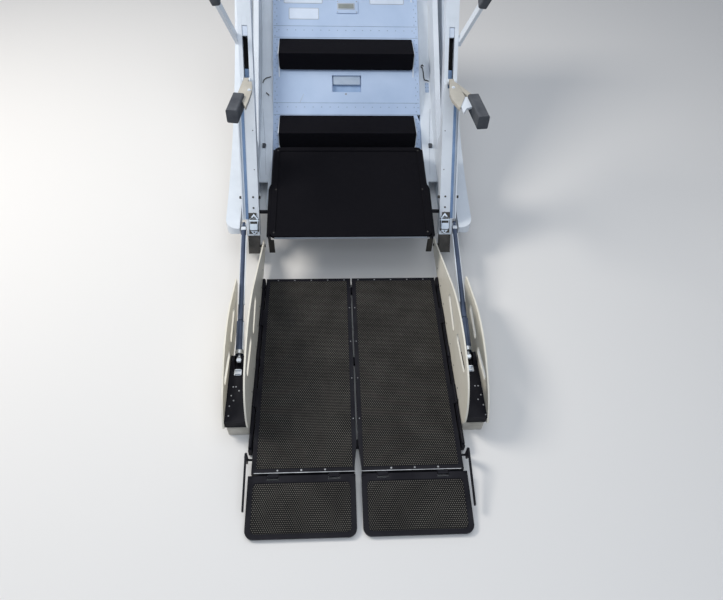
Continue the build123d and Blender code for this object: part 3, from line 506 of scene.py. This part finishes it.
# Pan rims. Places on them are (X, run), or (X, run, height) for the wires
RIM_SEAM = ((0.3772, 2.209), (0.3840, 2.314), (0.3906, 2.418), (0.3970, 2.490), (0.4033, 2.562))
RIM_SEAM_RADIUS = 0.0007
RIM_SEAM_HEIGHT = 0.0006
RIM_SEAM_SIDES = 8
BUFFER_PLACE = (0.391, 2.367)
BUFFER_OUTLINE = (
    (-0.008, -0.010), (0.006, -0.010), (0.009, -0.004),
    (0.009, 0.007), (0.005, 0.011), (-0.008, 0.011),
)
BUFFER_LEVELS = (0.0, 0.009, 0.0015)
# A wire loop that stays open: nine of ten points around it
LOOP_TURNS = [k * math.pi / 5 for k in range(9)]
RIM_LOOP = [(0.3745 + 0.0050 * math.cos(a), 2.764 + 0.0065 * math.sin(a), 0.0028) for a in LOOP_TURNS]
# On each side: radius and points of each wire
RIM_WIRES = {
    "left": (
        (0.0022, (
            (-0.4055, 2.684, 0.0018), (-0.3995, 2.698, 0.0030), (-0.3880, 2.706, 0.0042),
            (-0.3660, 2.713, 0.0018),
        )),
        (0.0026, ((-0.3875, 2.638, 0.0020), (-0.3800, 2.631, 0.0032), (-0.3738, 2.625, 0.0020))),
    ),
    "right": (
        (0.0024, RIM_LOOP),
        (0.0022, (
            (0.3760, 2.757, 0.0028), (0.3785, 2.740, 0.0028), (0.3800, 2.716, 0.0032),
            (0.3825, 2.702, 0.0034), (0.3910, 2.7005, 0.0030), (0.4050, 2.697, 0.0018),
        )),
    ),
}
RIM_PLATE_PLACE = (0.3940, 2.667)
RIM_PLATE = (("rim_plate", "panel_paint", (0, 0, 0.018, 0.052, 0.002), (-0.0004, 0.0014, 0.0004)),)
RIM_PLATE_RIVETS = [(x, y, 0.0014) for x in (-0.0055, 0.0055) for y in (-0.019, 0, 0.019)]
RIM_PLATE_RIVET = (0.0018, 0.0008)


def rim_details():
    """Seams, buffers, wire hooks and a small riveted plate on the pan's rims."""
    for side, s in SIDES:
        with piece(f"rim_seam_{side}", "shade_paint", "door") as bm:
            points = [rim_point(s * x, run, RIM_SEAM_HEIGHT) for x, run in RIM_SEAM]
            for ends in zip(points, points[1:]):
                round_bar(bm, ends, RIM_SEAM_RADIUS, RIM_SEAM_SIDES)
        with piece(f"rim_buffer_{side}", "black_rubber", "door") as bm:
            x, run = BUFFER_PLACE
            slab(bm, rim_basis(s * x, run), BUFFER_OUTLINE, *BUFFER_LEVELS)
        with piece(f"rim_hook_{side}", "dark_metal", "door") as bm:
            for radius, wire in RIM_WIRES[side]:
                round_bar(bm, [rim_point(*point) for point in wire], radius)
    place = rim_basis(*RIM_PLATE_PLACE)
    plates(RIM_PLATE, place, "door")
    with piece("rim_plate_rivets", "dark_metal", "door") as bm:
        rivets(bm, place, RIM_PLATE_RIVETS, *RIM_PLATE_RIVET)


rim_details()

# Masts, in their own axes. The latches and bolts stand that far inboard of the mast's middle
LATCH_INSET = 0.0055
# Triangles: base, tip, half width, levels
BACKING_TRIANGLES = (
    (0.149, 0.181, 0.023, (0.0001, 0.0016)),
    (0.105, 0.0815, 0.021, (0.0001, 0.0032)),
)
LATCH_TRIANGLES = (
    (0.153, 0.175, 0.018, (0.0016, 0.0055, 0.0008)),
    (0.101, 0.0835, 0.016, (0.0032, 0.0070, 0.0008)),
)
# Plates: rectangle without its x, levels
BACKING_PLATES = (((0.119, 0.040, 0.046, 0.004), (0.0001, 0.0030)),)
LATCH_PLATES = (
    ((0.119, 0.029, 0.027, 0.002), (0.0142, 0.0200, 0.0015)),
    ((0.146, 0.040, 0.007, 0.002), (0.0125, 0.0165, 0.0010)),
    ((0.154, 0.040, 0.005, 0.002), (0.0060, 0.0120, 0.0010)),
)
LATCH_BAR_X = (-0.0165, 0.0165)
LATCH_BAR_ENDS = (0.108, 0.152)
LATCH_BAR_Z = 0.0150
LATCH_BAR_RADIUS = 0.0018
LATCH_RIVETS = ((0.160, 0.0055), (0.095, 0.0070))
LATCH_RIVET = (0.0034, 0.0015)
MAST_BOLTS = (0.199, 0.245)
MAST_BOLT = (0.0032, 0.0022)
MAST_RIVETS = (0.36, 0.52)
MAST_RIVET = (0.0024, 0.0012)
MAST_RIVET_INSET = 0.0155
MAST_PIN_HEIGHT = 0.243
MAST_PIN_DEPTH = -0.012
MAST_PIN_RADIUS = 0.006
MAST_PIN_ENDS = ((-0.036, -0.0275), (0.0445, 0.054))
# The slate strip on the face, the channel floor and the slot foot are painted shade of the channel and
# the slot, and the black slot back is painted shade too
MAST_PLATES = (
    ("mast_channel_shade", "recess_shade_paint", (0.0235, 0.394, 0.0125, 0.486), (0.0002, 0.0012, 0.0003)),
    ("channel_floor", "recess_shade_paint", (0.036, 0.394, 0.0064, 0.490), (-0.0160, -0.0150)),
    ("stow_slot_cover", "white_paint", (0, 0.9435, 0.0214, 0.035), (-0.006, 0.0)),
    ("stow_slot_stop", "placard", (0, 0.906, 0.020, 0.038), (-0.012, -0.002, 0.001)),
    ("stow_slot_back", "hole_shade_black", (0, 0.826, 0.021, 0.122), (-0.030, -0.026)),
    ("stow_slot_foot", "recess_shade_paint", (0, 0.728, 0.021, 0.073), (-0.030, -0.026)),
)


def latch_layer(bm, place, x, triangles, rectangles):
    """Triangles and rectangles of a latch, across the mast at that x."""
    for base, tip, half, levels in triangles:
        outline = [(x - half, base), (x, tip), (x + half, base)]
        slab(bm, place, outline if tip < base else outline[::-1], *levels)
    for shape, levels in rectangles:
        slab(bm, place, rectangle(x, *shape), *levels)


def mast_details():
    """Toggle latches, bolts, pins, the channel strip and channel floor in painted shade, and the stow
    slot linings, whose back and foot are painted shade, of both masts.
    """
    for side, s in SIDES:
        place = MASTS[s]
        mid = -s * LATCH_INSET
        with piece(f"latch_backing_{side}", "dark_metal", "carriage") as bm:
            latch_layer(bm, place, mid, BACKING_TRIANGLES, BACKING_PLATES)
        with piece(f"latch_parts_{side}", "latch_steel", "carriage") as bm:
            latch_layer(bm, place, mid, LATCH_TRIANGLES, LATCH_PLATES)
            for x in LATCH_BAR_X:
                ends = [place @ Vector((mid + x, y, LATCH_BAR_Z)) for y in LATCH_BAR_ENDS]
                round_bar(bm, ends, LATCH_BAR_RADIUS)
        with piece(f"latch_rivets_{side}", "dark_metal", "carriage") as bm:
            rivets(bm, place, [(mid, *row) for row in LATCH_RIVETS], *LATCH_RIVET)
        with piece(f"mast_bolts_{side}", "dark_metal", "carriage") as bm:
            bolts(bm, place, [(mid, y, 0.0) for y in MAST_BOLTS], *MAST_BOLT)
            places = [(-s * MAST_RIVET_INSET, y, 0.0) for y in MAST_RIVETS]
            rivets(bm, place, places, *MAST_RIVET)
        with piece(f"mast_pin_{side}", "dark_metal", "carriage") as bm:
            for ends in MAST_PIN_ENDS:
                pin = [place @ Vector((s * x, MAST_PIN_HEIGHT, MAST_PIN_DEPTH)) for x in ends]
                round_bar(bm, pin, MAST_PIN_RADIUS)
        plates(MAST_PLATES, place, "carriage", s, f"_{side}")


mast_details()

# Outlines (X, run) of the wide sheet covers on the grip arms, and of the right pad's bracket
GRIP_TOP_RISE = 0.654
GRIP_COVERS = {
    "left": (
        (-0.429, 2.232), (-0.429, 2.205), (-0.419, 2.086), (-0.404, 2.047),
        (-0.394, 2.113), (-0.389, 2.168), (-0.392, 2.215), (-0.394, 2.232),
    ),
    "right": (
        (0.408, 2.232), (0.3975, 2.150), (0.402, 2.108), (0.424, 2.046),
        (0.430, 2.062), (0.456, 2.129), (0.436, 2.232),
    ),
}
COVER_LEVELS = (-0.013, 0.0014, 0.0012)
GRIP_BOLTS = {"left": (-0.399, 2.168, 0.0014), "right": (0.418, 2.195, 0.0014)}
GRIP_BOLT = (0.0055, 0.0040)
PAD_BRACKET = (
    (0.430, 2.062), (0.436, 2.020), (0.452, 2.052),
    (0.478, 2.062), (0.474, 2.131), (0.453, 2.131),
)
BRACKET_LEVELS = (-0.010, -0.001, 0.0010)


def grip_details():
    """Sheet covers on top of the grip arms, the right pad's bracket and their bolts."""
    # The outlines give the run itself, so the axes start at run 0
    top = basis(0, (0, GRIP_TOP_RISE), LEVEL)
    for side, _ in SIDES:
        with piece(f"grip_cover_{side}", "arm_paint", f"grip_{side}") as bm:
            slab(bm, top, GRIP_COVERS[side], *COVER_LEVELS)
        with piece(f"grip_bolt_{side}", "white_paint", f"grip_{side}") as bm:
            bolts(bm, top, [GRIP_BOLTS[side]], *GRIP_BOLT)
    with piece("pad_bracket", "white_paint", "grip_right") as bm:
        slab(bm, top, PAD_BRACKET, *BRACKET_LEVELS)


grip_details()

# Platform halves and ramp flaps, in their own axes. Rivets: size, places
DECK_RIVETS = (
    ((0.0032, 0.0014), [(x, 0.864) for x in (0.03, 0.10, 0.17, 0.24, 0.31)]),
    ((0.0036, 0.0015), [(x, 0.010) for x in (0.112, 0.192, 0.272)]),
    ((0.0024, 0.0010), [(0.011, y) for y in (0.20, 0.37, 0.54, 0.71)]),
)
DECK_PLATES = (
    ("deck_mesh", "perforated_sheet", (0.181, 0.436, 0.324, 0.840, 0.004), (-0.0008, 0.0004)),
    ("deck_edge", "steel_bar", (0.180, 0.0014, 0.340, 0.0022), (0.0, 0.0006)),
)
FLAP_PLATES = (
    ("flap_mesh", "perforated_sheet", (0.1895, -0.102, 0.322, 0.160, 0.014), (0.0030, 0.0040)),
)
STAY_OUTER = 0.3802
STAY_BOLT_PLACE = (0.900, 0.060, 0.0)
STAY_BOLT = (0.0050, 0.0030)


def deck_details():
    """Perforated sheets, edge strips, rivets and stay bolts of the halves and ramp flaps."""
    for side, s in SIDES:
        plates(DECK_PLATES, DECK, f"half_{side}", s, f"_{side}")
        plates(FLAP_PLATES, FLAP, f"ramp_{side}", s, f"_{side}")
        with piece(f"deck_rivets_{side}", "steel_bar", f"half_{side}") as bm:
            for size, places in DECK_RIVETS:
                rivets(bm, DECK, [(s * x, y, 0.0) for x, y in places], *size)
        with piece(f"stay_bolt_{side}", "steel_bar", f"stay_{side}") as bm:
            bolts(bm, side_basis(s * STAY_OUTER, s), [STAY_BOLT_PLACE], *STAY_BOLT)


deck_details()

# Platform sides: what stands on the side plates, X of its face, 1 for outwards or -1 for inwards,
# places (run, height, level) and size
PLATE_FIXINGS = (
    (bolts, 0.466, 1, [(run, 0.07, 0) for run in (1.06, 1.12, 1.18, 1.24)], (0.005, 0.003)),
    (bolts, 0.382, 1, [(1.893, 0.063, 0)], (0.011, 0.006)),
    (rivets, 0.376, -1, [(1.15 + 0.1 * k, 0.062, 0) for k in range(7)], (0.004, 0.0016)),
)
# Front and slope of the box's top, and X and run of the loose screws on it
BOX_FRONT = (1.016, 0.084)
BOX_WAY = (0.174, 0.008)
BOX_SCREWS = {
    "left": (
        (0.440, 1.155), (0.430, 1.155), (0.418, 1.139), (0.444, 1.120),
        (0.434, 1.100), (0.447, 1.079), (0.447, 1.041),
    ),
    "right": (
        (0.435, 1.141), (0.447, 1.141), (0.451, 1.104),
        (0.438, 1.086), (0.454, 1.064), (0.456, 1.026),
    ),
}
BOX_SCREW = (0.0032, 0.0015)
# Clip at the back of the box: X and start of its axes, then rectangles and levels
CLIP_PLACE = (0.428, (1.214, 0.0921))
CLIP_PLATES = (
    ((0, 0, 0.026, 0.026, 0.003), (0.0, 0.002, 0.0005)),
    ((0, -0.009, 0.020, 0.004, 0.001), (0.002, 0.009, 0.0008)),
    ((0, 0.009, 0.020, 0.004, 0.001), (0.002, 0.007, 0.0008)),
)


def side_details():
    """Bolts and rivets of the side plates, and the screws and clips of the boxes."""
    for side, s in SIDES:
        with piece(f"plate_bolts_{side}", "steel_bar", "platform") as bm:
            for kind, x, way, places, size in PLATE_FIXINGS:
                kind(bm, side_basis(s * x, s * way), places, *size)
        with piece(f"box_rivets_{side}", "steel_bar", "platform") as bm:
            places = [(s * x, run - BOX_FRONT[0], 0) for x, run in BOX_SCREWS[side]]
            rivets(bm, basis(0, BOX_FRONT, BOX_WAY), places, *BOX_SCREW)
        with piece(f"box_clip_{side}", "bright_metal", "platform") as bm:
            x, start = CLIP_PLACE
            for shape, levels in CLIP_PLATES:
                slab(bm, basis(s * x, start, LEVEL), rectangle(*shape), *levels)


side_details()

# Struts: the tube's pin (X, height along the mast, depth below its middle) and the rod's lower eye
STRUT_PIN = (0.463, 0.1216, 0.029)
STRUT_EYE = (0.425, 1.255, 0.112)
# Pale strips on the tube and the sleeve: the long ones are painted highlights, and the short one is a
# pale block near the tube's top end. Each is x, the rest of the rectangle, levels
TUBE_HIGHLIGHTS_AND_BLOCK = (
    (0.0120, (0.2525, 0.0040, 0.375, 0.0006), (-0.0010, 0.0062, 0.0006)),
    (-0.0086, (0.2525, 0.0022, 0.375, 0.0006), (0.0050, 0.0088, 0.0004)),
    (0, (0.030, 0.020, 0.018, 0.002), (0.0098, 0.0126, 0.0006)),
)
SLEEVE_HIGHLIGHTS = ((0.0128, (0.590, 0.0040, 0.126, 0.0006), (0.0040, 0.0092, 0.0006)),)
# Name, finish, start and end along the strut, inner and outer radius
STRUT_SLEEVES = (
    ("strut_sleeve", "strut_steel", (0.522, 0.668), (0.0126, 0.0144)),
    ("strut_collar", "bright_metal", (0.656, 0.672), (0.0146, 0.0158)),
)


def strut_details():
    """Pale strips along the strut tubes and sleeves as painted highlights, a short pale block near each
    tube's top end, and the sleeves and collars on their rods.
    """
    pin_x, along, depth = STRUT_PIN
    eye_x, *eye = STRUT_EYE
    run = MAST_FOOT[0] + along * math.cos(MAST_ANGLE) + depth * math.sin(MAST_ANGLE)
    rise = MAST_FOOT[1] + along * math.sin(MAST_ANGLE) - depth * math.cos(MAST_ANGLE)
    for side, s in SIDES:
        start = side_point(s * pin_x, run, rise)
        way = (side_point(s * eye_x, *eye) - start).normalized()
        across = way.cross(Vector((0, 0, 1))).normalized()
        place = Matrix((across, way, across.cross(way))).transposed().to_4x4()
        place.translation = start
        # The long pale strips are painted highlights on the dark tubes and sleeves
        for name, rows, body in (("strut", TUBE_HIGHLIGHTS_AND_BLOCK, "tube"), ("sleeve", SLEEVE_HIGHLIGHTS, "rod")):
            with piece(f"{name}_strips_{side}", "white_paint", f"{body}_{side}") as bm:
                for x, shape, levels in rows:
                    slab(bm, place, rectangle(s * x, *shape), *levels)
        for name, finish, ends, radii in STRUT_SLEEVES:
            with piece(f"{name}_{side}", finish, f"rod_{side}") as bm:
                sleeve(bm, *(start + way * end for end in ends), *radii)


strut_details()

# Landing plate: wings and screws in its own axes, flanges and lip in upright ones
LANDING_LENGTH = math.dist(LANDING_FRONT, LANDING_BACK)
WING_OUTLINE = ((0.3352, 0.003), (0.3470, 0.005), (0.3505, 0.260), (0.3470, 0.278), (0.3352, 0.304))
WING_LEVELS = (-0.012, -0.0004, 0.0010)
SCREW_X = 0.318
SCREW_SHARES = (0.04, 0.5, 0.96)
LANDING_SCREW = (0.004, 0.0018)
FLANGE_FOOT = (1.776, 0.140)
FLANGE = (0.329, 0.038, 0.024, 0.074, 0.003)
FLANGE_LEVELS = (0.0, 0.0014)
LIP_FOOT = (1.778, 0.2182)
LIP = (("landing_lip", "shade_paint", (0, 0.0040, 0.630, 0.0078), (0.0, 0.0012)),)


def landing_details():
    """Narrow wings, corner screws, and the pale lip and leg flanges below the front edge."""
    with piece("leg_flanges", "dark_metal", "carriage") as bm:
        x, *rest = FLANGE
        for _, s in SIDES:
            slab(bm, basis(0, FLANGE_FOOT, UPRIGHT), rectangle(s * x, *rest), *FLANGE_LEVELS)
    plates(LIP, basis(0, LIP_FOOT, UPRIGHT), "carriage")
    for side, s in SIDES:
        with piece(f"landing_wing_{side}", "black_grit", "carriage") as bm:
            slab(bm, LANDING, [(s * x, y) for x, y in WING_OUTLINE], *WING_LEVELS)
    with piece("landing_screws", "dark_metal", "carriage") as bm:
        heights = [LANDING_LENGTH * share for share in SCREW_SHARES]
        places = [(s * SCREW_X, height, 0.0) for _, s in SIDES for height in heights]
        rivets(bm, LANDING, places, *LANDING_SCREW)


landing_details()

# Stage, light and camera
FLOOR_REACH = 30
FLOOR_GAP = 0.001
FLOOR_COLOR = (0.74, 0.73, 0.715, 1)
SKY_COLOR = (0.78, 0.86, 1.0, 1)
SKY_STRENGTH = 0.34
# Name, energy, size, colour, place, aim
LIGHTS = (
    ("key", 130, 1.4, (1.0, 0.95, 0.88), (-3.1, -0.7, 2.4), (0.0, -1.6, -0.7)),
    ("fill", 48, 3.0, (0.84, 0.91, 1.0), (0.3, -4.8, 2.3), (0.0, -1.5, -0.6)),
    ("top", 42, 3.0, (0.92, 0.96, 1.0), (0.2, -1.2, 3.0), (0.0, -1.4, -0.6)),
)
CAMERA_PLACE = (-0.08, -3.300, 1.03)
CAMERA_PITCH = math.radians(50.2)
CAMERA_YAW = math.radians(4.31)
CAMERA_ROLL = math.radians(2.64)
CAMERA_LENS = 29.9
CAMERA_SENSOR = 36
CAMERA_REACH = 100


def floor_stage():
    """A wide pale floor just below the object."""
    corners = [(x * FLOOR_REACH, y * FLOOR_REACH, GROUND_Z - FLOOR_GAP) for x, y in SQUARE]
    floor_mesh = bpy.data.meshes.new("floor")
    floor_mesh.from_pydata(corners, [], [(0, 1, 2, 3)])
    material, _, _, shader = new_material("floor")
    shader.inputs["Base Color"].default_value = FLOOR_COLOR
    shader.inputs["Roughness"].default_value = 0.85
    floor_mesh.materials.append(material)
    floor = bpy.data.objects.new("floor", floor_mesh)
    bpy.context.scene.collection.objects.link(floor)


def sky():
    """Soft blue light on the object, plain white for camera, glossy and transmission rays."""
    world = bpy.data.worlds.new("studio")
    bpy.context.scene.world = world
    world.use_nodes = True
    nodes = world.node_tree.nodes
    links = world.node_tree.links
    nodes.clear()
    path = nodes.new("ShaderNodeLightPath")
    seen = path.outputs["Is Camera Ray"]
    for kind in ("Is Glossy Ray", "Is Transmission Ray"):
        seen = math_node(nodes, links, "MAXIMUM", seen, path.outputs[kind])
    mix = nodes.new("ShaderNodeMixShader")
    links.new(seen, mix.inputs["Fac"])
    for socket, color, strength in ((1, SKY_COLOR, SKY_STRENGTH), (2, (1, 1, 1, 1), 1.0)):
        background = nodes.new("ShaderNodeBackground")
        background.inputs["Color"].default_value = color
        background.inputs["Strength"].default_value = strength
        links.new(background.outputs["Background"], mix.inputs[socket])
    out = nodes.new("ShaderNodeOutputWorld")
    links.new(mix.outputs["Shader"], out.inputs["Surface"])


def lamps():
    """Square area lamps, each aimed at its point."""
    for name, energy, size, color, place, aim in LIGHTS:
        data = bpy.data.lights.new(name, "AREA")
        data.energy = energy
        data.size = size
        data.color = color
        lamp = bpy.data.objects.new(name, data)
        lamp.location = place
        lamp.rotation_euler = (Vector(aim) - Vector(place)).to_track_quat("-Z", "Y").to_euler()
        bpy.context.scene.collection.objects.link(lamp)


def camera():
    """The camera fitted to the photo."""
    right = Vector((math.cos(CAMERA_YAW), -math.sin(CAMERA_YAW), 0))
    level = math.cos(CAMERA_PITCH)
    ahead = Vector((
        math.sin(CAMERA_YAW) * level, math.cos(CAMERA_YAW) * level, -math.sin(CAMERA_PITCH),
    ))
    above = right.cross(ahead)
    turned = math.cos(CAMERA_ROLL) * right + math.sin(CAMERA_ROLL) * above
    upright = math.cos(CAMERA_ROLL) * above - math.sin(CAMERA_ROLL) * right
    data = bpy.data.cameras.new("camera")
    data.sensor_width = CAMERA_SENSOR
    data.lens = CAMERA_LENS
    data.clip_end = CAMERA_REACH
    eye = bpy.data.objects.new("camera", data)
    matrix = Matrix((turned, upright, -ahead)).transposed().to_4x4()
    matrix.translation = Vector(CAMERA_PLACE)
    eye.matrix_world = matrix
    bpy.context.scene.collection.objects.link(eye)
    bpy.context.scene.camera = eye


floor_stage()
sky()
lamps()
camera()
bpy.context.scene.view_settings.view_transform = "Standard"
